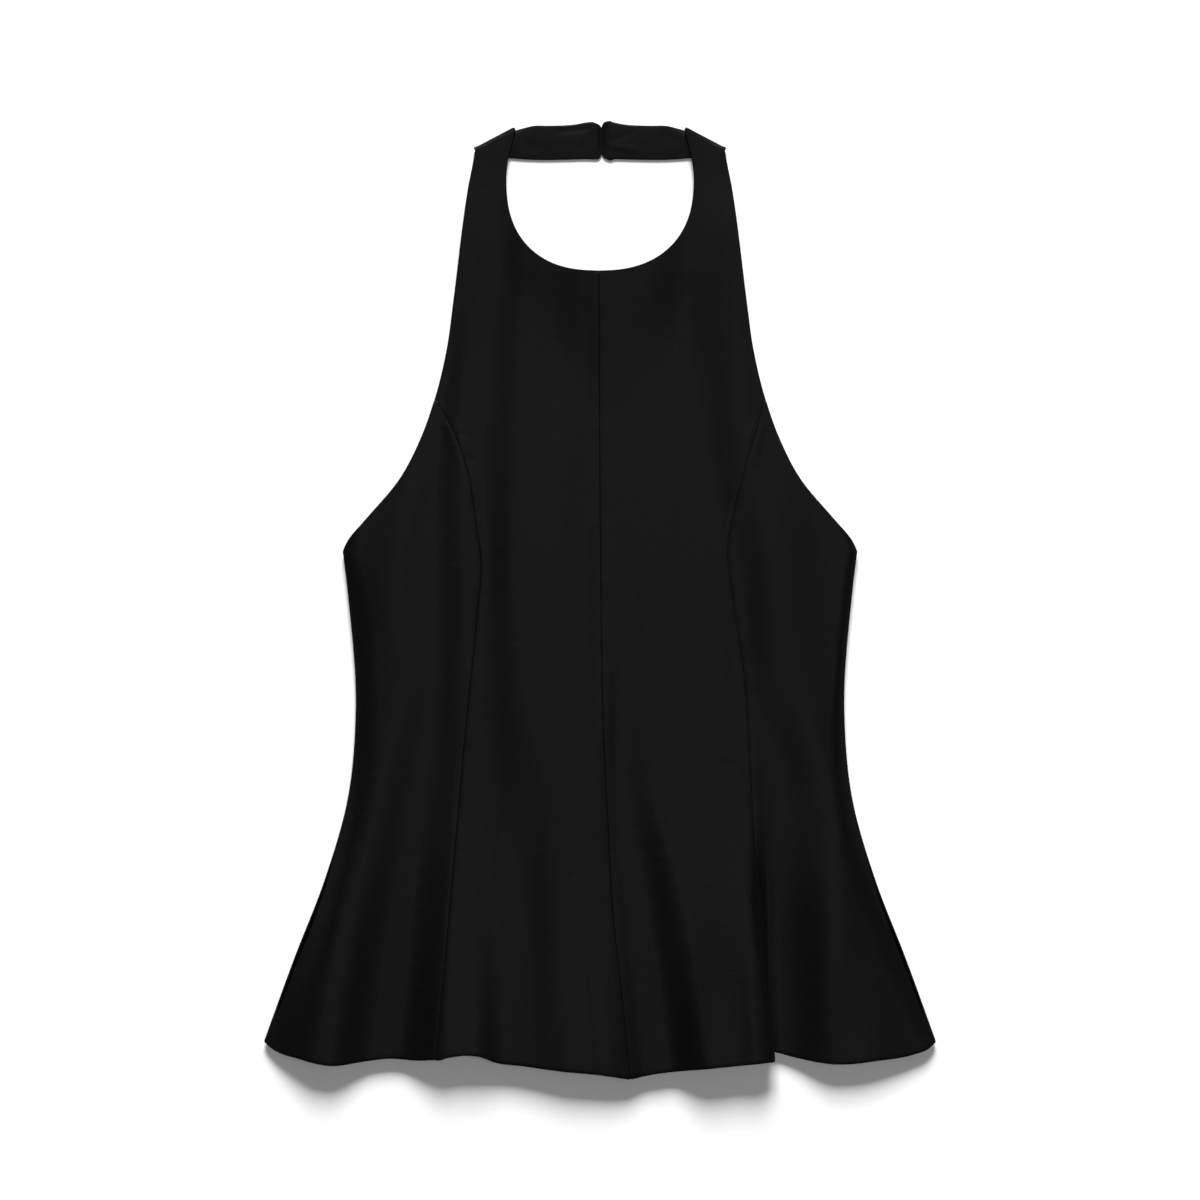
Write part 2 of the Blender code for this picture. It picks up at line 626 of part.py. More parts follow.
def wall(name, surface, rows, columns, side, thickness, material):
    """One closed wall of cloth as an object: two faces and a rim."""
    upper, lower = wall_points(surface, rows, columns, side, thickness)
    count_rows, count_columns = upper.shape[:2]
    mesh = bmesh.new()
    grids = [
        [[mesh.verts.new(point * MM) for point in row] for row in face]
        for face in (upper, lower)
    ]
    for grid in grids:
        for i in range(count_rows - 1):
            for j in range(count_columns - 1):
                mesh.faces.new((grid[i][j], grid[i][j + 1], grid[i + 1][j + 1], grid[i + 1][j]))
    rim = [(0, j) for j in range(count_columns - 1)]
    rim += [(i, count_columns - 1) for i in range(count_rows - 1)]
    rim += [(count_rows - 1, j) for j in range(count_columns - 1, 0, -1)]
    rim += [(i, 0) for i in range(count_rows - 1, 0, -1)]
    for (i, j), (m, n) in zip(rim, rim[1:] + rim[:1]):
        mesh.faces.new((grids[0][i][j], grids[0][m][n], grids[1][m][n], grids[1][i][j]))
    bmesh.ops.recalc_face_normals(mesh, faces=mesh.faces)
    data = bpy.data.meshes.new(name)
    mesh.to_mesh(data)
    mesh.free()
    data.shade_smooth()
    data.set_sharp_from_angle(angle=SHARP_ANGLE)
    data.materials.append(material)
    made = bpy.data.objects.new(name, data)
    bpy.context.scene.collection.objects.link(made)
    return made


def crepe():
    """Matt black heavy crepe."""
    material = bpy.data.materials.new("black_crepe")
    material.use_nodes = True
    shader = material.node_tree.nodes["Principled BSDF"]
    shader.inputs["Base Color"].default_value = CREPE_BLACK
    shader.inputs["Roughness"].default_value = CREPE_ROUGHNESS
    shader.inputs["Metallic"].default_value = 0.0
    return material


def main():
    for old in list(bpy.data.objects):
        bpy.data.objects.remove(old)
    cloth = crepe()
    for side, word in ((RIGHT, "right"), (LEFT, "left")):
        tucked = TUCK_COLUMNS if side == LEFT else 1
        centre_columns = lines((CENTRE_COLUMNS, tucked))
        side_columns = lines((tucked,) + SIDE_COLUMNS)
        sections = (BAND_CURL_ROWS,) + (BAND_SECTIONS_BETWEEN,) * len(band_table(side))
        band_columns = np.linspace(0.0, 1.0, BAND_COLUMNS)
        wall(f"front_centre_{word}", centre_panel, lines(CENTRE_ROWS), centre_columns, side, CLOTH, cloth)
        wall(f"front_side_{word}", side_panel, lines(SEAM_ROWS), side_columns, side, CLOTH, cloth)
        wall(f"back_{word}", back_panel, lines(BACK_ROWS), lines(BACK_COLUMNS), side, CLOTH, cloth)
        wall(f"neck_band_{word}", neck_band, lines(sections), band_columns, side, BAND_CLOTH, cloth)


main()
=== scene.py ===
"""Looks of a black halter-neck peplum top of heavy crepe, laid flat with its front up.

Each panel is a thin closed shell on the form of its solid, far finer, with the seams' grooves and turnings,
the small creases and the turned-up hem. Positions are in millimetres until the meshes are made.
"""

from collections import namedtuple

import bmesh
import bpy
import numpy as np
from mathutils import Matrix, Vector


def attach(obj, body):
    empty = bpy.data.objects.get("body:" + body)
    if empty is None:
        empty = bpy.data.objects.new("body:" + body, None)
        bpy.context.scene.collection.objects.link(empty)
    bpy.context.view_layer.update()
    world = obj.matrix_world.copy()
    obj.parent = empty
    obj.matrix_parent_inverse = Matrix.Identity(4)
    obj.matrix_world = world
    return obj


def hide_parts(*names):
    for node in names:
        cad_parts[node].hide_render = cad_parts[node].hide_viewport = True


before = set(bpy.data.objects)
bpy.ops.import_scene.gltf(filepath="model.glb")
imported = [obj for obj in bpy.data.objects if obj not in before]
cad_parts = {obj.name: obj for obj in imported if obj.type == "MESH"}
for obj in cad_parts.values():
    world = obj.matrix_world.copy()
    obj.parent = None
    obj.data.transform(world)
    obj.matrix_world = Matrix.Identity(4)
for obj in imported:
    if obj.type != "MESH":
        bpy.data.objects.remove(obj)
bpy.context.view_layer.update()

MM = 0.001
RIGHT, LEFT = -1, 1

# Cloth of the solids, which the shells keep to
CLOTH = 1.5
BAND_CLOTH = 2.0
SEAM_GAP = 0.3

# Heights on the body, along Y
SHOULDER_OUTER_Y = 340.0
SHOULDER_INNER_Y = 354.8
NECK_WIDEST_Y = 318.0
NECK_BOTTOM_Y = 246.8
STRAP_OUTER_Y = 312.0
NECK_OPPOSITE_Y = 196.0
APEX_Y = 149.0
APEX_NOTCH = 0.7
UNDERARM_Y = 36.3
BACK_TOP_Y = 14.0
HEM_CORNER_Y = -330.5
BACK_HEM_Y = -335.5

# Neckline: half of an ellipse-like curve that is a little squarer than an ellipse
NECK_HALF_WIDTH = 71.3
NECK_SQUARENESS = 2.4
STRAP_INNER_TOP_X = 65.0

# Outline from the shoulder round the armhole to the underarm, and from there down the side seam
EdgePoint = namedtuple("EdgePoint", "y half_width")
ARMHOLE = [
    EdgePoint(y=340.0, half_width=94.6),
    EdgePoint(y=300.0, half_width=100.4),
    EdgePoint(y=225.0, half_width=109.6),
    EdgePoint(y=188.0, half_width=114.8),
    EdgePoint(y=150.0, half_width=123.9),
    EdgePoint(y=120.0, half_width=134.6),
    EdgePoint(y=90.0, half_width=150.4),
    EdgePoint(y=60.0, half_width=175.7),
    EdgePoint(y=44.0, half_width=189.4),
    EdgePoint(y=UNDERARM_Y, half_width=193.2),
]
SIDE_SEAM = [
    EdgePoint(y=UNDERARM_Y, half_width=193.2),
    EdgePoint(y=28.0, half_width=192.0),
    EdgePoint(y=0.0, half_width=188.8),
    EdgePoint(y=-82.0, half_width=183.4),
    EdgePoint(y=-150.0, half_width=189.7),
    EdgePoint(y=-210.0, half_width=206.8),
    EdgePoint(y=-270.0, half_width=230.0),
    EdgePoint(y=HEM_CORNER_Y, half_width=252.0),
]

# Seams, from the armhole or the neckline to the hem
SeamPoint = namedtuple("SeamPoint", "y x")
CENTRE_SEAM = [
    SeamPoint(y=NECK_BOTTOM_Y, x=-1.0),
    SeamPoint(y=30.0, x=0.4),
    SeamPoint(y=-75.0, x=2.0),
    SeamPoint(y=-186.0, x=7.0),
    SeamPoint(y=-240.0, x=10.2),
    SeamPoint(y=-290.0, x=16.0),
    SeamPoint(y=-358.0, x=23.0),
]
PRINCESS_SEAM_RIGHT = [
    SeamPoint(y=APEX_Y, x=-122.4),
    SeamPoint(y=131.0, x=-112.5),
    SeamPoint(y=102.0, x=-100.7),
    SeamPoint(y=55.0, x=-92.4),
    SeamPoint(y=27.0, x=-89.0),
    SeamPoint(y=-8.0, x=-91.6),
    SeamPoint(y=-90.0, x=-100.0),
    SeamPoint(y=-204.0, x=-110.2),
    SeamPoint(y=-343.3, x=-123.2),
]
PRINCESS_SEAM_LEFT = [
    SeamPoint(y=APEX_Y, x=122.4),
    SeamPoint(y=128.0, x=117.9),
    SeamPoint(y=104.0, x=110.2),
    SeamPoint(y=66.0, x=100.0),
    SeamPoint(y=38.0, x=95.7),
    SeamPoint(y=8.0, x=99.2),
    SeamPoint(y=-62.0, x=108.5),
    SeamPoint(y=-168.0, x=115.0),
    SeamPoint(y=-261.0, x=121.0),
    SeamPoint(y=-342.0, x=130.4),
]

# Hem of each front panel, from its inner seam to its outer one. The left side panel's hem starts where it
# comes out from under the tuck.
HemPoint = namedtuple("HemPoint", "x y")
HEM_CENTRE_RIGHT = [
    HemPoint(x=23.0, y=-358.4),
    HemPoint(x=0.0, y=-354.8),
    HemPoint(x=-30.0, y=-351.9),
    HemPoint(x=-60.0, y=-347.9),
    HemPoint(x=-77.0, y=-345.8),
    HemPoint(x=-90.0, y=-340.8),
    HemPoint(x=-102.0, y=-339.9),
    HemPoint(x=-113.0, y=-341.4),
    HemPoint(x=-123.2, y=-343.5),
]
HEM_CENTRE_LEFT = [
    HemPoint(x=23.0, y=-358.4),
    HemPoint(x=37.0, y=-355.2),
    HemPoint(x=52.0, y=-353.1),
    HemPoint(x=97.0, y=-348.2),
    HemPoint(x=130.4, y=-344.8),
]
HEM_SIDE_RIGHT = [
    HemPoint(x=-123.2, y=-343.5),
    HemPoint(x=-136.0, y=-344.1),
    HemPoint(x=-160.0, y=-343.1),
    HemPoint(x=-180.0, y=-345.6),
    HemPoint(x=-199.0, y=-347.9),
    HemPoint(x=-225.0, y=-342.8),
    HemPoint(x=-245.0, y=-336.0),
    HemPoint(x=-252.0, y=HEM_CORNER_Y),
]
HEM_SIDE_LEFT = [
    HemPoint(x=130.4, y=-337.8),
    HemPoint(x=148.0, y=-342.5),
    HemPoint(x=176.0, y=-346.8),
    HemPoint(x=209.0, y=-344.2),
    HemPoint(x=236.0, y=-339.6),
    HemPoint(x=247.0, y=-335.2),
    HemPoint(x=252.0, y=HEM_CORNER_Y),
]

# Heights of the cloth's underside above the surface
BODY_LOFT = 8.0
LOFT_START_Y = 230.0
LOFT_FULL_Y = 0.0
SIDE_SEAM_HEIGHT = 5.0
SIDE_ROLL_TURN = np.radians(45.0)
SIDE_ROLL_START_Y = 62.0
SIDE_ROLL_SPREAD = 4.0
LEAST_ROLL_WIDTH = 2.5
END_SHARE = 0.35
HEM_BEND_START = 0.4
BACK_ROLL_WIDTH = 7.0
BACK_TOP_SAG = 2.2
BACK_TOP_FADE = 0.5
SHOULDER_RADIUS = 1.9
SHOULDER_SETTLE_ROW = 2.6
CENTRE_GAP_ROW = 2.8
STRAP_RISE_START_Y = 170.0
STRAP_FLAT_START_Y = 260.0
STRAP_RISE_END_Y = 334.0

# How wide the front's roll down to each side seam may be, at each height
SideRoll = namedtuple("SideRoll", "y right left")
SIDE_ROLLS = [
    SideRoll(y=UNDERARM_Y, right=24.0, left=8.0),
    SideRoll(y=0.0, right=20.0, left=9.0),
    SideRoll(y=-40.0, right=18.0, left=8.0),
    SideRoll(y=-90.0, right=18.0, left=11.0),
    SideRoll(y=-150.0, right=22.0, left=15.0),
    SideRoll(y=HEM_CORNER_Y, right=26.0, left=20.0),
]

# Folds that run down the front and grow into the flutes of the peplum. Each row is the line of a ridge, a
# valley or a shelf: where it runs and how far it stands above the lowest cloth, at each height in
# FOLD_STATIONS, and how far it stays level to either side at the hem. Between two lines the cloth passes
# smoothly from one to the other.
FOLD_STATIONS = (250.0, 130.0, 20.0, -70.0, -140.0, -225.0, -345.0)
FoldLine = namedtuple("FoldLine", "name level x rise")
FOLD_LINES = [
    FoldLine(
        name="right_edge",
        level=1,
        x=(-108, -133, -190, -185, -193, -214, -250),
        rise=(3.4, 1.0, 0.2, 1.8, 2.0, 2.6, 0.6),
    ),
    FoldLine(
        name="right_side_ridge",
        level=4,
        x=(-105, -128, -154, -150, -168, -188, -208),
        rise=(3.2, 1.2, 4.6, 4.4, 5.4, 8.4, 9.6),
    ),
    FoldLine(
        name="right_side_valley",
        level=9,
        x=(-100, -120, -122, -124, -134, -146, -160),
        rise=(2.9, 0.8, 0.6, 1.0, 0.8, 0.6, 0.2),
    ),
    FoldLine(
        name="right_seam_ridge",
        level=9,
        x=(-94, -104, -101, -104, -106, -104, -104),
        rise=(2.2, 3.2, 3.9, 3.4, 3.0, 7.0, 12.5),
    ),
    FoldLine(
        name="right_front_valley",
        level=11,
        x=(-76, -87, -87, -92, -84, -68, -61),
        rise=(1.2, 2.0, 2.4, 3.2, 2.4, 4.4, 6.6),
    ),
    FoldLine(
        name="centre_ridge",
        level=8,
        x=(-57, -62, -65, -56, -36, -24, -14),
        rise=(3.8, 5.0, 6.0, 6.6, 6.2, 7.2, 9.5),
    ),
    FoldLine(
        name="centre_shelf",
        level=2,
        x=(-10, 2, 6, 2, -10, -8, 0),
        rise=(1.8, 2.4, 3.0, 4.4, 5.4, 6.6, 9.0),
    ),
    FoldLine(
        name="left_front_valley",
        level=7,
        x=(36, 38, 38, 22, 18, 30, 44),
        rise=(1.4, 2.4, 3.0, 3.4, 3.0, 2.8, 1.8),
    ),
    FoldLine(
        name="left_front_ridge",
        level=2,
        x=(46, 58, 66, 44, 41, 64, 84),
        rise=(1.2, 2.6, 3.4, 3.6, 4.9, 8.2, 12.5),
    ),
    FoldLine(
        name="left_front_far",
        level=2,
        x=(54, 68, 84, 90, 100, 106, 112),
        rise=(1.0, 2.4, 3.2, 3.8, 4.2, 6.4, 9.4),
    ),
    FoldLine(
        name="left_seam_valley",
        level=2,
        x=(60, 76, 98, 112, 138, 140, 140),
        rise=(1.0, 2.0, 2.2, 2.4, 2.2, 2.6, 2.4),
    ),
    FoldLine(
        name="left_side_ridge",
        level=2,
        x=(100, 108, 130, 144, 170, 174, 180),
        rise=(4.6, 5.4, 5.4, 4.8, 4.4, 6.8, 6.6),
    ),
    FoldLine(
        name="left_edge",
        level=1,
        x=(109, 134, 190, 185, 193, 214, 250),
        rise=(4.6, 3.4, 0.0, 0.8, 1.4, 1.2, 0.0),
    ),
]
LEVEL_START_Y = -20.0

# The middle of the neckline stands up from the surface, over a V of cloth below it
NECK_LIFT = 6.5
NECK_LIFT_X = 8.0
NECK_LIFT_HALF_WIDTH = 76.0
NECK_LIFT_ROUNDING = 16.0
NECK_LIFT_FULL = 0.2
NECK_LIFT_END = 1.1
NECK_LIFT_DEPTH = 125.0

# The tuck at the left princess seam, where the peplum folds over itself: an S of two equal arcs
TUCK_ARC = 8.0
TUCK_HEM_ANGLE = np.radians(165.0)
TUCK_START_Y = -160.0
TUCK_SETTLE = 48.0
LEAST_ANGLE = 0.01

# Neck bands, from the shoulder fold to the nape: matching points of the lower and the upper edge
BandSection = namedtuple("BandSection", "lower_x lower_y upper_x upper_y")
NECK_BAND = [
    BandSection(lower_x=84.0, lower_y=334.6, upper_x=58.0, upper_y=353.6),
    BandSection(lower_x=68.0, lower_y=332.6, upper_x=50.0, upper_y=355.4),
    BandSection(lower_x=48.0, lower_y=331.4, upper_x=38.0, upper_y=355.3),
    BandSection(lower_x=26.0, lower_y=331.6, upper_x=22.0, upper_y=355.8),
    BandSection(lower_x=12.0, lower_y=332.0, upper_x=11.0, upper_y=357.6),
]
NAPE_X = 1.2
BAND_INSET = 0.8
BAND_BOW = 1.6
BAND_BOW_TURN = np.radians(112.0)
BAND_BOW_ROWS = 2.0
NECK_BAND_END_RIGHT = [
    BandSection(lower_x=3.2, lower_y=331.8, upper_x=6.0, upper_y=358.0),
    BandSection(lower_x=0.2, lower_y=332.9, upper_x=1.6, upper_y=356.6),
    BandSection(lower_x=SEAM_GAP / 2 - NAPE_X, lower_y=335.2, upper_x=SEAM_GAP / 2 - NAPE_X, upper_y=354.3),
]
NECK_BAND_END_LEFT = [
    BandSection(lower_x=8.0, lower_y=331.0, upper_x=7.5, upper_y=358.8),
    BandSection(lower_x=3.6, lower_y=332.6, upper_x=3.4, upper_y=358.0),
    BandSection(lower_x=NAPE_X + SEAM_GAP / 2, lower_y=335.0, upper_x=NAPE_X + SEAM_GAP / 2, upper_y=355.0),
]

# The shells' own cloth
SHELL = 1.3
BAND_SHELL = 1.9
HEM_TURNING_DEPTH = 22.0
HEM_TURNING_THICKNESS = 0.8
HEM_TURNING_FADE = 1.0

# Seams: turnings pressed open under the cloth raise it a little, and the stitching pulls it into a groove
TURNING_WIDTH = 10.0
TURNING_EDGE = 7.0
TURNING_RISE = 0.25
Groove = namedtuple("Groove", "depth width")
CENTRE_GROOVE = Groove(depth=0.12, width=0.7)
PRINCESS_GROOVE = Groove(depth=0.22, width=1.2)
NECK_FADE_IN = 3.0
SEAM_FADE_IN = 26.0
PUCKER_RISE = 0.08
PUCKER_REACH = 7.0
PUCKER_LENGTHS = (23.0, 37.0)

# Slow unevenness of the whole cloth: each row is a wave's length along X and Y, its phase and its height
Wave = namedtuple("Wave", "along_x along_y phase rise")
UNEVEN_BASE = 0.5
WAVES = [
    Wave(along_x=61.0, along_y=-443.0, phase=0.6, rise=0.20),
    Wave(along_x=-43.0, along_y=297.0, phase=2.1, rise=0.14),
    Wave(along_x=83.0, along_y=371.0, phase=4.0, rise=0.20),
    Wave(along_x=31.0, along_y=-611.0, phase=1.3, rise=0.08),
]

# Small creases: each row is a straight crease from one end to the other, its half width and its rise or dip
Crease = namedtuple("Crease", "from_x from_y to_x to_y half_width rise")
FRONT_CREASES = [
    Crease(-109, 124.8, -96, 123.0, 1.6, -0.4),
    Crease(-103, 107.0, -93, 103.0, 1.5, -0.6),
    Crease(86, -121, 106, -127, 3.0, -0.4),
]
BAND_CREASES = [
    Crease(-34, 351, -6, 354, 2.6, -0.5),
    Crease(-18, 337, -4, 349, 2.6, -0.5),
    Crease(-60, 343, -40, 340, 3.5, -0.4),
    Crease(6, 344, 26, 352, 2.6, -0.5),
    Crease(7, 341, 30, 338, 2.4, 0.4),
    Crease(44, 350, 62, 344, 3.5, -0.4),
]
BACK_CREASES = [
    Crease(-150, 8, -118, -150, 7.0, 0.7),
    Crease(-60, -20, -84, -300, 9.0, 0.9),
    Crease(-22, -205, -8, -328, 8.0, 0.6),
    Crease(48, 4, 66, -170, 6.0, 0.6),
    Crease(104, -120, 150, -326, 9.0, 0.9),
    Crease(178, -170, 214, -310, 7.0, 0.7),
]

# Grid lines of each shell, counted between the lines where its form changes
CENTRE_ROWS = (9, 12, 52, 40, 3, 52, 150)
CENTRE_COLUMNS = 74
TUCK_COLUMNS = {RIGHT: 14, LEFT: 30}
SIDE_ROWS = (52, 150)
SIDE_COLUMNS = (74, 20)
BACK_ROWS = 110
BACK_COLUMNS = (70, 12)
BAND_CURL_ROWS = 10
BAND_ROWS = 8
BAND_COLUMNS = 40
CENTRE_CROWDING = 0.6
RIM_ANGLES = (45.0, 90.0, 135.0)

# The flat size of each panel, in metres and square metres, and what it lies on
Cut = namedtuple("Cut", "width length area lies_on")

# Crepe: its tone, its gloss and its grain, with noise scales that count waves in a metre. Its raised fibres
# take the gloss away where it is seen low, on a scale from 0, straight on, to 1, along the cloth.
CREPE_DARK = (0.0011, 0.0011, 0.0012, 1.0)
CREPE_LIGHT = (0.0020, 0.0020, 0.0021, 1.0)
CREPE_ROUGHNESS = (0.44, 0.49)
CREPE_LOW_ROUGHNESS = 0.95
LOW_VIEW_START, LOW_VIEW_END = 0.15, 0.5
CREPE_IOR = 1.45
CREPE_SPECULAR = 0.095
Grain = namedtuple("Grain", "scale detail roughness")
TONE_GRAIN = Grain(scale=420.0, detail=4.0, roughness=0.6)
GLOSS_GRAIN = Grain(scale=260.0, detail=3.0, roughness=0.5)
SLUB_GRAIN = Grain(scale=520.0, detail=5.0, roughness=0.65)
GRAIN_STRETCH = (0.4, 1.5, 1.0)
NOISE_LOW, NOISE_HIGH = 0.3, 0.7
PEBBLE_SCALE = 1400.0
PEBBLE_STRENGTH, PEBBLE_DEPTH = 0.35, 0.0002
SLUB_STRENGTH, SLUB_DEPTH = 0.3, 0.0004

# Studio, in metres and watts
FLOOR_REACH = 4.0
FLOOR_Z = -0.0002
FLOOR_COLOUR = (0.86, 0.86, 0.86, 1.0)
FLOOR_ROUGHNESS = 0.9
Light = namedtuple("Light", "name place size power")
LIGHTS = [
    Light(name="soft_key", place=(0.0, 6.6, 4.5), size=3.1, power=1220.0),
    Light(name="soft_top", place=(0.5, -0.3, 5.4), size=1.5, power=54.0),
]
AIR_COLOUR = (1.0, 1.0, 1.0, 1.0)
AIR_STRENGTH = 0.09
CAMERA_HEIGHT = 4.5
SCALE_PLANE = 0.008
FRAME_WIDTH = 0.9
SENSOR_WIDTH = 36.0


def curve(rows, at, along="y", value="x"):
    """The smooth curve through a table's rows, read at these places."""
    places = np.array([getattr(row, along) for row in rows], float)
    values = np.array([getattr(row, value) for row in rows], float)
    order = np.argsort(places)
    return smooth_through(places[order], values[order], at)


def smooth_through(places, values, at):
    """Cubic interpolation whose slope at each place follows its neighbours."""
    slopes = np.gradient(values, places)
    at = np.clip(at, places[0], places[-1])
    i = np.clip(np.searchsorted(places, at) - 1, 0, len(places) - 2)
    span = places[i + 1] - places[i]
    t = (at - places[i]) / span
    return (
        values[i] * (1 + 2 * t) * (1 - t) ** 2
        + values[i + 1] * t**2 * (3 - 2 * t)
        + slopes[i] * span * t * (1 - t) ** 2
        - slopes[i + 1] * span * t**2 * (1 - t)
    )


def ease(start, end, at):
    """0 before start, 1 after end, and a smooth step between. Start may be the greater."""
    t = np.clip((at - start) / (end - start), 0.0, 1.0)
    return t * t * (3 - 2 * t)


def mix(a, b, share):
    return a + (b - a) * share


def folds_at(x, y):
    """How far the folds lift the front at each point."""
    stations = np.array(FOLD_STATIONS[::-1])

    def down_line(values):
        return smooth_through(stations, np.array(values[::-1], float), y)

    grown = ease(LEVEL_START_Y, FOLD_STATIONS[-1], y)
    lifted = down_line(FOLD_LINES[0].rise)
    for line, following in zip(FOLD_LINES, FOLD_LINES[1:]):
        start = down_line(line.x) + line.level * grown
        end = down_line(following.x) - following.level * grown
        passed = ease(start, end, x)
        lifted = lifted + (down_line(following.rise) - down_line(line.rise)) * passed
    return lifted


def neck_lift(x, y):
    """How far the neckline's lift raises the front at each point."""
    below = np.maximum(NECK_BOTTOM_Y - y, 0.0) / NECK_LIFT_DEPTH
    beside = np.hypot(x - NECK_LIFT_X, NECK_LIFT_ROUNDING) / NECK_LIFT_HALF_WIDTH
    return NECK_LIFT * ease(NECK_LIFT_END, NECK_LIFT_FULL, below + beside)


def creases_at(creases, x, y):
    """How far small creases raise the cloth at each point. Each fades out towards its ends and its sides."""
    total = np.zeros(np.broadcast(x, y).shape)
    for crease in creases:
        run = np.array([crease.to_x - crease.from_x, crease.to_y - crease.from_y], float)
        length = np.hypot(*run)
        along = ((x - crease.from_x) * run[0] + (y - crease.from_y) * run[1]) / length
        off = ((x - crease.from_x) * run[1] - (y - crease.from_y) * run[0]) / length
        share = np.clip(along / length, 0.0, 1.0)
        beyond = along - share * length
        across = np.exp(-(off**2 + beyond**2) / crease.half_width**2)
        total = total + crease.rise * across * np.sqrt(np.sin(np.pi * share))
    return total


def unevenness(x, y):
    """Slow waves of the front's cloth and the small creases that lie on it."""
    total = creases_at(FRONT_CREASES, x, y)
    for wave in WAVES:
        total = total + wave.rise * np.sin(2 * np.pi * (x / wave.along_x + y / wave.along_y) + wave.phase)
    return total


def seam_relief(off, y, groove):
    """The cloth's height beside a seam, at this distance from it."""
    pucker = sum(np.sin(2 * np.pi * y / length + length) for length in PUCKER_LENGTHS)
    return (
        TURNING_RISE * (1 - ease(TURNING_WIDTH - TURNING_EDGE, TURNING_WIDTH, off))
        - groove.depth * np.exp(-((off / groove.width) ** 2))
        + PUCKER_RISE * pucker * np.exp(-((off / PUCKER_REACH) ** 2))
    )


def seams_at(x, y):
    """Relief of the three seams of the front."""
    centre = seam_relief(np.abs(x - curve(CENTRE_SEAM, y)), y, CENTRE_GROOVE)
    right = seam_relief(np.abs(x - curve(PRINCESS_SEAM_RIGHT, y)), y, PRINCESS_GROOVE)
    left = seam_relief(np.abs(x - curve(PRINCESS_SEAM_LEFT, y)), y, PRINCESS_GROOVE)
    below_neck = ease(NECK_BOTTOM_Y + NECK_FADE_IN, NECK_BOTTOM_Y - NECK_FADE_IN, y)
    below_apex = ease(APEX_Y, APEX_Y - SEAM_FADE_IN, y)
    above_tuck = ease(TUCK_START_Y - TUCK_SETTLE, TUCK_START_Y, y)
    return centre * below_neck + right * below_apex + left * below_apex * above_tuck


def front_height(x, y):
    """Height of the middle of the front's cloth above the surface."""
    strap_lift = BAND_CLOTH / 2 + 2 * SHOULDER_RADIUS - CLOTH / 2
    body = BODY_LOFT * ease(LOFT_START_Y, LOFT_FULL_Y, y)
    strap = strap_lift * ease(STRAP_RISE_START_Y, STRAP_RISE_END_Y, y)
    flat_strap = 1 - ease(STRAP_FLAT_START_Y, STRAP_RISE_END_Y, y)
    small = np.maximum(unevenness(x, y) + UNEVEN_BASE, 0.0) * flat_strap
    drape = neck_lift(x, y) + folds_at(x, y) * flat_strap + small
    return CLOTH / 2 + body + strap + drape + seams_at(x, y)


def tuck(y):
    """The turning angle of the tuck at each height, and the radius of its two arcs."""
    angle = LEAST_ANGLE + (TUCK_HEM_ANGLE - LEAST_ANGLE) * ease(TUCK_START_Y, FOLD_STATIONS[-1], y)
    return angle, TUCK_ARC / angle


def tuck_section(arc, y, side):
    """Sideways and upward offsets from the seam, at a signed arc length from it across the seam."""
    if side == RIGHT:
        return arc, np.zeros(np.broadcast(arc, y).shape)
    angle, radius = tuck(y)
    turned = angle * (1 - np.abs(arc) / TUCK_ARC)
    across = np.sign(arc) * radius * (np.sin(angle) - np.sin(turned))
    up = -np.sign(arc) * radius * (np.cos(turned) - np.cos(angle))
    return across, up


def tuck_step(x, seam_x, y, side):
    """How far the tuck parts its two panels from the folds' own height, fading away from the seam."""
    if side == RIGHT:
        return np.zeros(np.broadcast(x, y).shape)
    angle, radius = tuck(y)
    drop = radius * (1 - np.cos(angle))
    away = np.maximum(np.abs(x - seam_x) - radius * np.sin(angle), 0.0)
    return drop * (1 - ease(0.0, TUCK_SETTLE, away))


def princess_x(y, side):
    """Where a princess seam lies. Its table follows the edge that shows, which overhangs it at the tuck."""
    if side == RIGHT:
        return curve(PRINCESS_SEAM_RIGHT, y)
    angle, radius = tuck(y)
    overhang = np.where(angle > np.pi / 2, radius * (1 - np.sin(angle)), 0.0)
    return curve(PRINCESS_SEAM_LEFT, y) - overhang


def hem_detail(hem, x, straight_y, grown):
    """How far a hem's curve departs from the straight line between its ends, growing down the panel."""
    return (curve(hem, x, along="x", value="y") - straight_y) * grown


def in_zone(at, number):
    """0 to 1 within zone number, held at its ends outside."""
    return np.clip(at - number, 0.0, 1.0)


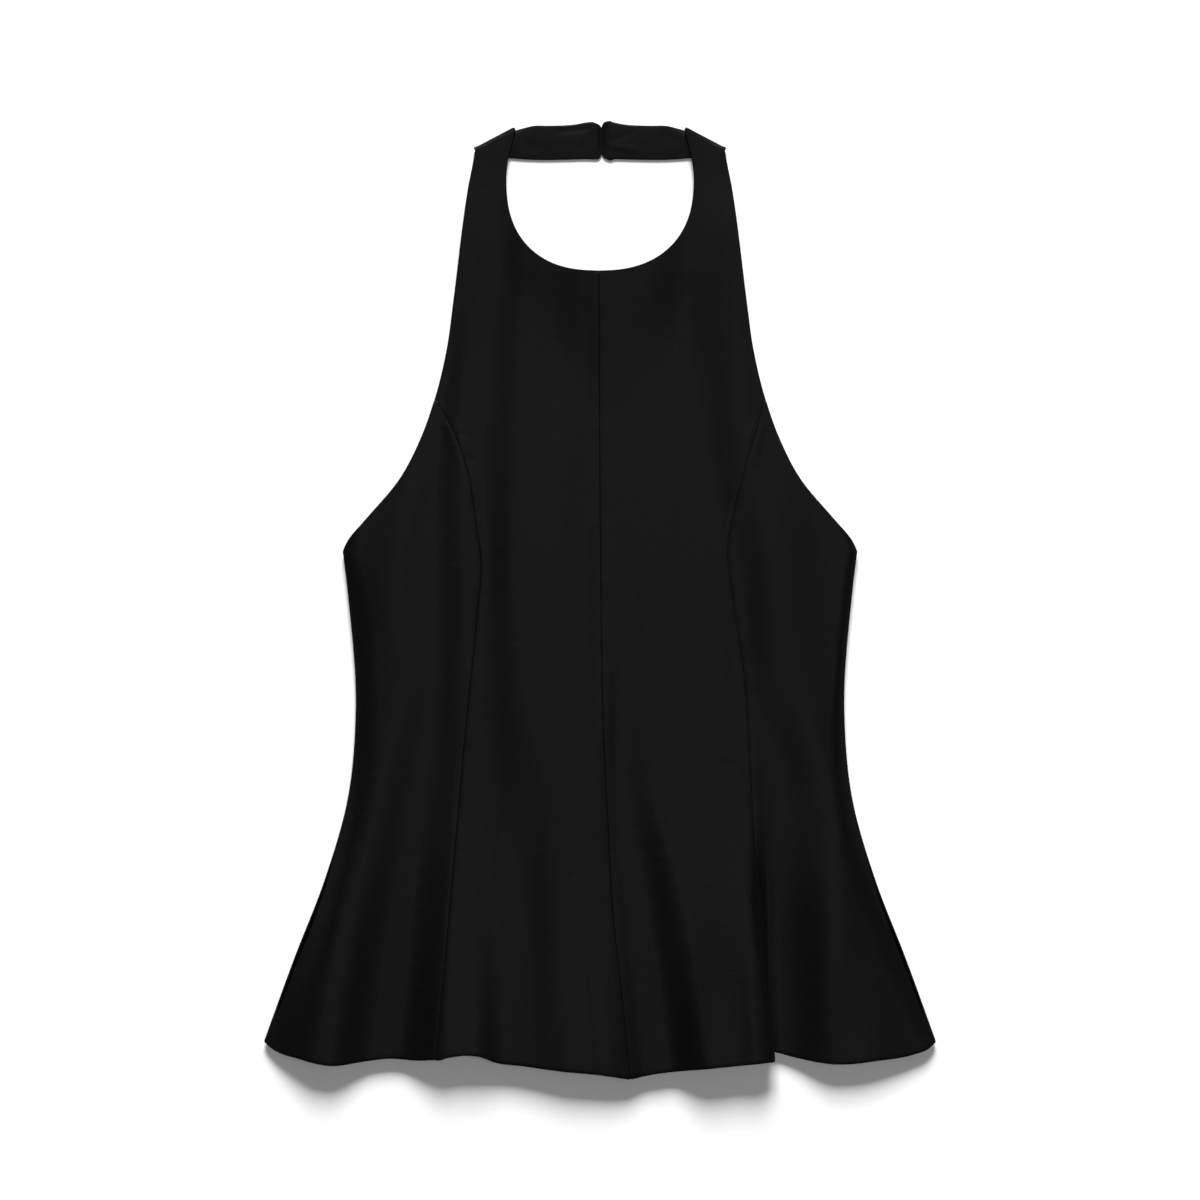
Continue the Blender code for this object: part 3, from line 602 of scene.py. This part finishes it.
def centre_panel(rows, columns, side):
    """A centre-front panel. Row zones: the turn over the shoulder, strap, neckline, bib, the notch where the
    princess seam leaves the armhole, body and peplum. Column zones: from the centre front outwards, then the
    last stretch to the princess seam or armhole."""
    turn, strap, neck, bib, notch, upper, lower = (in_zone(rows, zone) for zone in range(7))
    shoulder_x = curve(ARMHOLE, SHOULDER_OUTER_Y, value="half_width")
    seam = curve(CENTRE_SEAM, NECK_BOTTOM_Y)

    # Inner edge: strap, neckline, then centre-front seam
    around = neck * np.pi / 2
    round_x = NECK_HALF_WIDTH * np.abs(np.cos(around)) ** (2 / NECK_SQUARENESS)
    round_y = NECK_WIDEST_Y - (NECK_WIDEST_Y - NECK_BOTTOM_Y) * np.sin(around) ** (2 / NECK_SQUARENESS)
    hem = HEM_CENTRE_LEFT if side == LEFT else HEM_CENTRE_RIGHT
    inner_y = np.where(rows < 2, mix(SHOULDER_INNER_Y, NECK_WIDEST_Y, strap), round_y)
    inner_y = np.where(rows > 3, mix(NECK_BOTTOM_Y, APEX_Y + APEX_NOTCH, bib), inner_y)
    inner_y = mix(inner_y, APEX_Y, notch)
    inner_y = np.where(rows > 5, mix(mix(APEX_Y, UNDERARM_Y, upper), hem[0].y, lower), inner_y)
    strap_x = mix(STRAP_INNER_TOP_X, NECK_HALF_WIDTH, np.sin(strap * np.pi / 2))
    inner_x = side * np.where(rows < 2, strap_x, round_x) + seam * ease(2, 3, rows)
    inner_x = np.where(rows >= 3, curve(CENTRE_SEAM, inner_y), inner_x)
    inner_x = inner_x + side * SEAM_GAP / 2 * ease(CENTRE_GAP_ROW, 3, rows)

    # Outer edge: armhole, then princess seam
    outer_y = mix(SHOULDER_OUTER_Y, STRAP_OUTER_Y, strap)
    outer_y = mix(outer_y, NECK_OPPOSITE_Y, neck)
    outer_y = mix(outer_y, APEX_Y + APEX_NOTCH, bib)
    outer_y = mix(mix(mix(outer_y, APEX_Y, notch), UNDERARM_Y, upper), hem[-1].y, lower)
    armhole_x = side * curve(ARMHOLE, outer_y, value="half_width")
    outer_x = mix(armhole_x, princess_x(outer_y, side), notch)

    # Points across each row
    angle, radius = tuck(outer_y) if side == LEFT else (LEAST_ANGLE, TUCK_ARC / LEAST_ANGLE)
    last_width = radius * np.sin(angle)
    chord = np.abs(outer_x - inner_x)
    last_share = TUCK_ARC / (chord + TUCK_ARC)
    across, last = in_zone(columns, 0), in_zone(columns, 1)
    off_x, off_z = tuck_section(-mix(TUCK_ARC, SEAM_GAP / 2, last), outer_y, side)
    start_x = outer_x - side * last_width
    x = np.where(columns <= 1, mix(inner_x, start_x, across), outer_x + side * off_x)
    share = np.where(columns <= 1, across * (1 - last_share), 1 - last_share * (1 - last))
    y = mix(inner_y, outer_y, share)
    straight_y = mix(hem[0].y, hem[-1].y, share)
    y = y + hem_detail(hem, x, straight_y, ease(HEM_BEND_START, 1.0, lower)) * (1 - last)
    z = front_height(x, y)
    z = z + np.where(columns <= 1, tuck_step(x, outer_x, y, side), off_z) * notch

    # The turn over the shoulder: a quarter circle about a line through both shoulder corners
    along = np.array([shoulder_x - STRAP_INNER_TOP_X, SHOULDER_OUTER_Y - SHOULDER_INNER_Y])
    along = along / np.linalg.norm(along)
    outward = np.array([-along[1] * side, along[0]])
    reach = SHOULDER_RADIUS + CLOTH / 2
    turned = (1 - turn) * (np.pi / 2 - SEAM_GAP / 2 / SHOULDER_RADIUS)
    back = -reach + SHOULDER_RADIUS * np.sin(turned)
    top = 1 - ease(1.0, SHOULDER_SETTLE_ROW, rows)
    x = x + outward[0] * back * top
    y = y + outward[1] * back * top
    z = z - SHOULDER_RADIUS * (1 - np.cos(turned))
    return x, y, z


def side_panel(rows, columns, side):
    """A side-front panel. Row zones: beside the armhole, then beside the side seam. Column zones: the first
    stretch from the princess seam, the panel, and the roll down to the side seam."""
    upper, lower = in_zone(rows, 0), in_zone(rows, 1)
    hem = HEM_SIDE_LEFT if side == LEFT else HEM_SIDE_RIGHT
    seam_end_y = (HEM_CENTRE_LEFT if side == LEFT else HEM_CENTRE_RIGHT)[-1].y
    beside_armhole = mix(APEX_Y, UNDERARM_Y, upper)
    inner_y = np.where(rows <= 1, beside_armhole, mix(UNDERARM_Y, seam_end_y, lower))
    outer_y = np.where(rows <= 1, beside_armhole, mix(UNDERARM_Y, HEM_CORNER_Y, lower))
    inner_x = princess_x(inner_y, side)
    armhole_x = curve(ARMHOLE, outer_y, value="half_width")
    outer_x = side * np.where(rows <= 1, armhole_x, curve(SIDE_SEAM, outer_y, value="half_width"))

    # How the cloth rolls down to the side seam
    width = np.abs(outer_x - inner_x)
    rolling = ease(SIDE_ROLL_START_Y, UNDERARM_Y, outer_y)
    steepest = LEAST_ANGLE + (SIDE_ROLL_TURN - LEAST_ANGLE) * rolling
    end_height = SIDE_SEAM_HEIGHT + SEAM_GAP / 2 + CLOTH / 2 * np.cos(steepest)
    drop = (front_height(outer_x, outer_y) - end_height) * rolling
    widest = curve(SIDE_ROLLS, outer_y, value="left" if side == LEFT else "right")
    roll = np.clip(drop * SIDE_ROLL_SPREAD, LEAST_ROLL_WIDTH, widest)
    roll = np.minimum(roll, END_SHARE * width)
    edge_x = outer_x - side * CLOTH / 2 * np.sin(steepest)

    # Points across each row
    angle, radius = tuck(inner_y) if side == LEFT else (LEAST_ANGLE, TUCK_ARC / LEAST_ANGLE)
    shrink = np.minimum(1.0, END_SHARE * width / TUCK_ARC)
    first, across, last = (in_zone(columns, zone) for zone in range(3))
    off_x, off_z = tuck_section(mix(SEAM_GAP / 2 / shrink, TUCK_ARC, first), inner_y, side)
    start_x = inner_x + side * radius * np.sin(angle) * shrink
    roll_x = edge_x - side * roll
    x = np.where(columns <= 1, inner_x + side * off_x * shrink, mix(start_x, roll_x, across))
    rolled = steepest * last
    x = np.where(columns > 2, roll_x + side * roll * np.sin(rolled) / np.sin(steepest), x)
    first_share = TUCK_ARC * shrink / (width + TUCK_ARC)
    share = mix(first_share, 1.0, np.clip((x - start_x) / (outer_x - start_x), 0.0, 1.0))
    share = np.where(columns <= 1, first_share * first, share)
    y = mix(inner_y, outer_y, share)
    straight_y = mix(seam_end_y, HEM_CORNER_Y, share)
    y = y + hem_detail(hem, x, straight_y, ease(HEM_BEND_START, 1.0, lower)) * first
    z = front_height(x, y)
    z = z + np.where(columns <= 1, off_z, -tuck_step(x, inner_x, y, side))
    z = z - np.where(columns > 2, drop * (1 - np.cos(rolled)) / (1 - np.cos(steepest)), 0.0)
    return x, y, z


def back_panel(rows, columns, side):
    """A back panel, flat on the surface. Column zones: from the centre back outwards, then the curl up to
    the side seam."""
    down = in_zone(rows, 0)
    inner_y = mix(BACK_TOP_Y, BACK_HEM_Y, down)
    outer_y = mix(UNDERARM_Y, HEM_CORNER_Y, down)
    outer_x = curve(SIDE_SEAM, outer_y, value="half_width")
    across, last = in_zone(columns, 0), in_zone(columns, 1)
    curl = last * np.pi / 2
    edge_x = outer_x - CLOTH / 2
    start_x = edge_x - BACK_ROLL_WIDTH
    x = np.where(columns <= 1, mix(SEAM_GAP / 2, start_x, across), start_x + BACK_ROLL_WIDTH * np.sin(curl))
    share = x / outer_x
    dip = (share**BACK_TOP_SAG - share) * (UNDERARM_Y - BACK_TOP_Y) * (1 - ease(0.0, BACK_TOP_FADE, down))
    y = mix(inner_y, outer_y, share) + dip
    rise = SIDE_SEAM_HEIGHT - SEAM_GAP / 2 - CLOTH / 2
    z = CLOTH / 2 + rise * (1 - np.cos(curl)) + creases_at(BACK_CREASES, side * x, y) * (1 - last)
    return side * x, y, z


def band_table(side):
    end = NECK_BAND_END_LEFT if side == LEFT else NECK_BAND_END_RIGHT
    return NECK_BAND + end


def neck_band(rows, columns, side):
    """A neck band. Row zone 0 is the turn under the shoulder, and each later one a section of the table.
    Columns run from the lower edge to the upper one."""
    sections = band_table(side)
    shoulder_x = curve(ARMHOLE, SHOULDER_OUTER_Y, value="half_width")
    along = np.array([shoulder_x - STRAP_INNER_TOP_X, SHOULDER_OUTER_Y - SHOULDER_INNER_Y])
    along = along / np.linalg.norm(along)
    outward = np.array([-along[1], along[0]])
    inset = -(SHOULDER_RADIUS + CLOTH / 2)
    first = BandSection(
        lower_x=shoulder_x - BAND_INSET + outward[0] * inset,
        lower_y=SHOULDER_OUTER_Y - BAND_INSET / 2 + outward[1] * inset,
        upper_x=STRAP_INNER_TOP_X + BAND_INSET + outward[0] * inset,
        upper_y=SHOULDER_INNER_Y - BAND_INSET / 2 + outward[1] * inset,
    )
    sections = [first] + sections
    number = np.arange(len(sections), dtype=float)
    station = np.clip(rows - 1, 0.0, len(sections) - 1.0)
    edges = {
        name: smooth_through(number, np.array([getattr(s, name) for s in sections]), station)
        for name in BandSection._fields
    }
    x = mix(edges["lower_x"], edges["upper_x"], columns)
    y = mix(edges["lower_y"], edges["upper_y"], columns)
    turned = (1 - in_zone(rows, 0)) * (np.pi / 2 - SEAM_GAP / 2 / SHOULDER_RADIUS)
    x = x + outward[0] * SHOULDER_RADIUS * np.sin(turned)
    y = y + outward[1] * SHOULDER_RADIUS * np.sin(turned)
    bow = BAND_BOW * np.sin(BAND_BOW_TURN * columns) * ease(1.0, 1.0 + BAND_BOW_ROWS, rows)
    bow = bow * ease(len(sections), len(sections) - BAND_BOW_ROWS, rows)
    z = BAND_CLOTH / 2 + SHOULDER_RADIUS * (1 - np.cos(turned)) + bow
    z = z + creases_at(BAND_CREASES, side * x, y) * ease(1.0, 1.0 + BAND_BOW_ROWS, rows)
    return side * x, y, z


def lines(*zones):
    """Grid positions. Each zone is a count, or a count and a share by which its lines crowd to its start."""
    steps = []
    for number, zone in enumerate(zones):
        count, crowd = zone if isinstance(zone, tuple) else (zone, 0.0)
        t = np.arange(count) / count
        steps.append(number + t - crowd * np.sin(np.pi * t) / np.pi)
    return np.append(np.concatenate(steps), len(zones))


def wall_faces(surface, rows, columns, side, thickness, turning):
    """The upper and lower face of a shell. turning is the face that the turned-up hem thickens: -1 the lower
    one, 1 the upper one, 0 neither."""
    grid = surface(rows[:, None], columns[None, :], side)
    middle = np.stack(np.broadcast_arrays(*grid), axis=2)
    down, across = np.gradient(middle, axis=0), np.gradient(middle, axis=1)
    normal = np.cross(across, down) * -side
    normal /= np.linalg.norm(normal, axis=2, keepdims=True)
    steps = np.linalg.norm(np.diff(middle, axis=0), axis=2)
    to_hem = np.zeros(middle.shape[:2])
    to_hem[:-1] = np.cumsum(steps[::-1], axis=0)[::-1]
    folded = 1 - ease(HEM_TURNING_DEPTH - HEM_TURNING_FADE, HEM_TURNING_DEPTH, to_hem)
    turned_up = HEM_TURNING_THICKNESS * folded
    above = thickness / 2 + turned_up * (turning > 0)
    below = thickness / 2 + turned_up * (turning < 0)
    return middle + normal * above[..., None], middle - normal * below[..., None]


def rim_path(count_rows, count_columns):
    """Grid places round the rim, each with the step that leads out of the grid there."""
    top = [(0, j, -1, 0) for j in range(count_columns - 1)]
    outer = [(i, count_columns - 1, 0, 1) for i in range(count_rows - 1)]
    bottom = [(count_rows - 1, j, 1, 0) for j in range(count_columns - 1, 0, -1)]
    inner = [(i, 0, 0, -1) for i in range(count_rows - 1, 0, -1)]
    return top + outer + bottom + inner


def shell(name, surface, rows, columns, side, thickness, sewn, turning=0):
    """One closed shell of cloth with a rounded rim. sewn tells which rim places lie in a seam."""
    upper, lower = wall_faces(surface, rows, columns, side, thickness, turning)
    count_rows, count_columns = upper.shape[:2]
    size = count_rows * count_columns
    index = np.arange(size).reshape(count_rows, count_columns)
    quads = np.stack((index[:-1, :-1], index[:-1, 1:], index[1:, 1:], index[1:, :-1]), axis=2).reshape(-1, 4)
    points = [upper.reshape(-1, 3), lower.reshape(-1, 3)]
    faces = [quads, quads + size]

    path = rim_path(count_rows, count_columns)
    top = np.array([upper[i, j] for i, j, _, _ in path])
    low = np.array([lower[i, j] for i, j, _, _ in path])
    core = (top + low) / 2
    inside = np.array([(upper[i - di, j - dj] + lower[i - di, j - dj]) / 2 for i, j, di, dj in path])
    out = core - inside
    out /= np.linalg.norm(out, axis=1, keepdims=True)
    half = np.linalg.norm(top - low, axis=1, keepdims=True) / 2
    seam = np.array([sewn(rows[i], di, dj) for i, j, di, dj in path])[:, None]
    bulge = np.where(seam, SEAM_GAP / 2, half)
    loops = [np.array([index[i, j] for i, j, _, _ in path])]
    for number, angle in enumerate(np.radians(RIM_ANGLES)):
        points.append(core + (top - core) * np.cos(angle) + out * bulge * np.sin(angle))
        loops.append(2 * size + number * len(path) + np.arange(len(path)))
    loops.append(loops[0] + size)
    for a, b in zip(loops, loops[1:]):
        faces.append(np.stack((a, b, np.roll(b, -1), np.roll(a, -1)), axis=1))

    data = bpy.data.meshes.new(name)
    data.from_pydata((np.concatenate(points) * MM).tolist(), [], np.concatenate(faces).tolist())
    mesh = bmesh.new()
    mesh.from_mesh(data)
    bmesh.ops.recalc_face_normals(mesh, faces=mesh.faces)
    mesh.to_mesh(data)
    mesh.free()
    data.shade_smooth()
    made = bpy.data.objects.new(name, data)
    bpy.context.scene.collection.objects.link(made)
    return made


def centre_sewn(row, step_row, step_column):
    return (step_column < 0 and row >= 3) or (step_column > 0 and row >= 5) or step_row < 0


def side_sewn(row, step_row, step_column):
    return step_column < 0 or (step_column > 0 and row >= 1)


def back_sewn(row, step_row, step_column):
    return step_column != 0


def band_sewn(row, step_row, step_column):
    return step_row < 0


def noise(material, place, grain):
    """Soft noise of this grain, read at this place."""
    node = material.node_tree.nodes.new("ShaderNodeTexNoise")
    node.inputs["Scale"].default_value = grain.scale
    node.inputs["Detail"].default_value = grain.detail
    node.inputs["Roughness"].default_value = grain.roughness
    material.node_tree.links.new(place, node.inputs["Vector"])
    return node.outputs["Fac"]


def graded(material, source, low, high):
    """A noise's middle range, spread from low to high."""
    node = material.node_tree.nodes.new("ShaderNodeMapRange")
    node.inputs["From Min"].default_value = NOISE_LOW
    node.inputs["From Max"].default_value = NOISE_HIGH
    node.inputs["To Min"].default_value = low
    node.inputs["To Max"].default_value = high
    material.node_tree.links.new(source, node.inputs["Value"])
    return node.outputs["Result"]


def fuzzy(material, gloss):
    """The roughness, rising to that of the raised fibres where the cloth is seen low."""
    nodes, links = material.node_tree.nodes, material.node_tree.links
    facing = nodes.new("ShaderNodeLayerWeight")
    low = nodes.new("ShaderNodeMapRange")
    low.inputs["From Min"].default_value = LOW_VIEW_START
    low.inputs["From Max"].default_value = LOW_VIEW_END
    links.new(facing.outputs["Facing"], low.inputs["Value"])
    mixed = nodes.new("ShaderNodeMix")
    mixed.inputs["B"].default_value = CREPE_LOW_ROUGHNESS
    links.new(gloss, mixed.inputs["A"])
    links.new(low.outputs["Result"], mixed.inputs["Factor"])
    return mixed.outputs["Result"]


def bump(material, height, strength, depth):
    node = material.node_tree.nodes.new("ShaderNodeBump")
    node.inputs["Strength"].default_value = strength
    node.inputs["Distance"].default_value = depth
    material.node_tree.links.new(height, node.inputs["Height"])
    return node


def crepe():
    """Matt black heavy crepe: a pebbled surface, uneven in tone and gloss."""
    material = bpy.data.materials.new("black_crepe_cloth")
    material.use_nodes = True
    nodes, links = material.node_tree.nodes, material.node_tree.links
    shader = nodes["Principled BSDF"]
    shader.inputs["Metallic"].default_value = 0.0
    shader.inputs["IOR"].default_value = CREPE_IOR
    shader.inputs["Specular IOR Level"].default_value = CREPE_SPECULAR

    place = nodes.new("ShaderNodeTexCoord").outputs["Object"]
    stretch = nodes.new("ShaderNodeMapping")
    stretch.inputs["Scale"].default_value = GRAIN_STRETCH
    links.new(place, stretch.inputs["Vector"])
    stretched = stretch.outputs["Vector"]

    tone = nodes.new("ShaderNodeMix")
    tone.data_type = "RGBA"
    tone.inputs["A"].default_value = CREPE_DARK
    tone.inputs["B"].default_value = CREPE_LIGHT
    links.new(graded(material, noise(material, stretched, TONE_GRAIN), 0.0, 1.0), tone.inputs["Factor"])
    links.new(tone.outputs["Result"], shader.inputs["Base Color"])
    gloss = graded(material, noise(material, stretched, GLOSS_GRAIN), *CREPE_ROUGHNESS)
    links.new(fuzzy(material, gloss), shader.inputs["Roughness"])

    pebbles = nodes.new("ShaderNodeTexVoronoi")
    pebbles.inputs["Scale"].default_value = PEBBLE_SCALE
    links.new(place, pebbles.inputs["Vector"])
    grain = bump(material, pebbles.outputs["Distance"], PEBBLE_STRENGTH, PEBBLE_DEPTH)
    slub = bump(material, noise(material, stretched, SLUB_GRAIN), SLUB_STRENGTH, SLUB_DEPTH)
    links.new(grain.outputs["Normal"], slub.inputs["Normal"])
    links.new(slub.outputs["Normal"], shader.inputs["Normal"])
    return material


def paper():
    material = bpy.data.materials.new("studio_paper")
    material.use_nodes = True
    shader = material.node_tree.nodes["Principled BSDF"]
    shader.inputs["Base Color"].default_value = FLOOR_COLOUR
    shader.inputs["Roughness"].default_value = FLOOR_ROUGHNESS
    return material


def build_panels(side, word):
    """The four shells of one side of the top, by the name of their panel."""
    tucked = TUCK_COLUMNS[side]
    return {
        "front_centre": shell(
            f"cloth_front_centre_{word}",
            centre_panel,
            lines(*CENTRE_ROWS),
            lines((CENTRE_COLUMNS, CENTRE_CROWDING), tucked),
            side,
            SHELL,
            centre_sewn,
            turning=-1,
        ),
        "front_side": shell(
            f"cloth_front_side_{word}",
            side_panel,
            lines(*SIDE_ROWS),
            lines(tucked, *SIDE_COLUMNS),
            side,
            SHELL,
            side_sewn,
            turning=-1,
        ),
        "back": shell(
            f"cloth_back_{word}",
            back_panel,
            lines(BACK_ROWS),
            lines(*BACK_COLUMNS),
            side,
            SHELL,
            back_sewn,
            turning=1,
        ),
        "neck_band": shell(
            f"cloth_neck_band_{word}",
            neck_band,
            lines(BAND_CURL_ROWS, *(BAND_ROWS,) * len(band_table(side))),
            np.linspace(0.0, 1.0, BAND_COLUMNS),
            side,
            BAND_SHELL,
            band_sewn,
        ),
    }


def build_top():
    cloth = crepe()
    for side, word in ((RIGHT, "right"), (LEFT, "left")):
        for part, piece in build_panels(side, word).items():
            piece.data.materials.append(cloth)
            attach(piece, "root")
            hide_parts(f"{part}_{word}")


def build_floor():
    reach = FLOOR_REACH
    corners = [(-reach, -reach), (reach, -reach), (reach, reach), (-reach, reach)]
    mesh = bpy.data.meshes.new("studio_floor")
    mesh.from_pydata([(x, y, FLOOR_Z) for x, y in corners], [], [(0, 1, 2, 3)])
    mesh.materials.append(paper())
    floor = bpy.data.objects.new("studio_floor", mesh)
    bpy.context.scene.collection.objects.link(floor)


def build_lights():
    """Soft square lights that face the middle of the top, and a faint light from all round."""
    for light in LIGHTS:
        data = bpy.data.lights.new(light.name, "AREA")
        data.size = light.size
        data.energy = light.power
        made = bpy.data.objects.new(light.name, data)
        made.location = light.place
        made.rotation_mode = "QUATERNION"
        made.rotation_quaternion = (-Vector(light.place)).to_track_quat("-Z", "Y")
        bpy.context.scene.collection.objects.link(made)
    world = bpy.data.worlds.new("studio_air")
    world.use_nodes = True
    air = world.node_tree.nodes["Background"]
    air.inputs["Color"].default_value = AIR_COLOUR
    air.inputs["Strength"].default_value = AIR_STRENGTH
    bpy.context.scene.world = world


def build_camera():
    """A camera straight above, whose frame is FRAME_WIDTH wide at the height of the cloth."""
    data = bpy.data.cameras.new("camera")
    data.sensor_width = SENSOR_WIDTH
    data.lens = SENSOR_WIDTH * (CAMERA_HEIGHT - SCALE_PLANE) / FRAME_WIDTH
    camera = bpy.data.objects.new("camera", data)
    camera.location = (0.0, 0.0, CAMERA_HEIGHT)
    bpy.context.scene.collection.objects.link(camera)
    bpy.context.scene.camera = camera
    bpy.context.scene.view_settings.view_transform = "Standard"


build_top()
build_floor()
build_lights()
build_camera()
